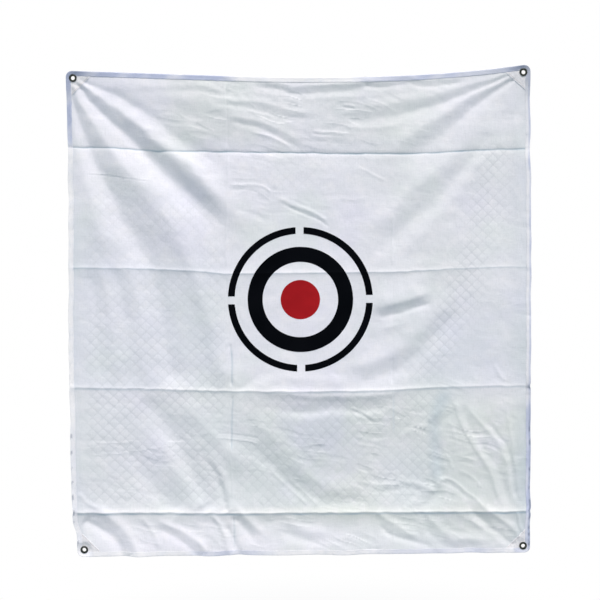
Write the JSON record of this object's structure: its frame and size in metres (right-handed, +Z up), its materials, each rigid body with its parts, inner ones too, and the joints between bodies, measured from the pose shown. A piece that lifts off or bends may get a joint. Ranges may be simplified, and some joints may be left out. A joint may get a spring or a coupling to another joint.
{
  "type": "golf practice target cloth",
  "caption": "White hanging target cloth for golf practice, with taped edges, eyelets in reinforced corners, packing creases and a printed ring target.",
  "frame": {"origin": "midway between the centres of the two top eyelets, in the middle of the cloth's thickness", "axes": "+X to the right across the cloth as it is looked at, +Z up, the printed face looks along -Y"},
  "size_m": [1.41, 0.0163, 1.5],
  "materials": {
    "cloth": "woven white polyester with a faint diamond lattice, matt",
    "edge_tape": "pale lavender woven binding tape",
    "corner_patch": "white woven reinforcement, coarse weave",
    "thread": "pale sewing thread",
    "grommet_metal": "dark nickel-plated, polished by handling",
    "washer_metal": "dark nickel-plated",
    "ink_black": "matt black ink printed into the weave",
    "ink_red": "matt red ink printed into the weave"
  },
  "bodies": {
    "top_panel": {"cloth_panel_1": "cloth", "edge_tape_top": "edge_tape", "edge_tape_left_1": "edge_tape", "edge_tape_right_1": "edge_tape", "seam_thread_top": "thread", "seam_thread_left_1": "thread", "seam_thread_right_1": "thread", "corner_patch_top_left": "corner_patch", "grommet_top_left": "grommet_metal", "washer_top_left": "washer_metal", "corner_patch_top_right": "corner_patch", "grommet_top_right": "grommet_metal", "washer_top_right": "washer_metal"},
    "second_panel": {"cloth_panel_2": "cloth", "edge_tape_left_2": "edge_tape", "edge_tape_right_2": "edge_tape", "seam_thread_left_2": "thread", "seam_thread_right_2": "thread", "target_outer_ring_upper": "ink_black", "target_inner_ring_upper": "ink_black"},
    "third_panel": {"cloth_panel_3": "cloth", "edge_tape_left_3": "edge_tape", "edge_tape_right_3": "edge_tape", "seam_thread_left_3": "thread", "seam_thread_right_3": "thread", "target_outer_ring_lower": "ink_black", "target_inner_ring_lower": "ink_black", "target_bullseye": "ink_red"},
    "fourth_panel": {"cloth_panel_4": "cloth", "edge_tape_left_4": "edge_tape", "edge_tape_right_4": "edge_tape", "seam_thread_left_4": "thread", "seam_thread_right_4": "thread"},
    "bottom_panel": {"cloth_panel_5": "cloth", "edge_tape_bottom": "edge_tape", "edge_tape_left_5": "edge_tape", "edge_tape_right_5": "edge_tape", "seam_thread_bottom": "thread", "seam_thread_left_5": "thread", "seam_thread_right_5": "thread", "corner_patch_bottom_left": "corner_patch", "grommet_bottom_left": "grommet_metal", "washer_bottom_left": "washer_metal", "corner_patch_bottom_right": "corner_patch", "grommet_bottom_right": "grommet_metal", "washer_bottom_right": "washer_metal"}
  },
  "joints": [
    {"name": "crease_1_fold", "type": "hinge", "parent": "top_panel", "child": "second_panel", "pos_m": [0, 0, -0.2245], "axis": [-1, 0, 0], "range_deg": [-20, 150]},
    {"name": "crease_2_fold", "type": "hinge", "parent": "second_panel", "child": "third_panel", "pos_m": [0, 0, -0.5965], "axis": [1, 0, 0], "range_deg": [-20, 150]},
    {"name": "crease_3_fold", "type": "hinge", "parent": "third_panel", "child": "fourth_panel", "pos_m": [0, 0, -0.9595], "axis": [-1, 0, 0], "range_deg": [-20, 150]},
    {"name": "crease_4_fold", "type": "hinge", "parent": "fourth_panel", "child": "bottom_panel", "pos_m": [0, 0, -1.3455], "axis": [1, 0, 0], "range_deg": [-20, 150]}
  ]
}
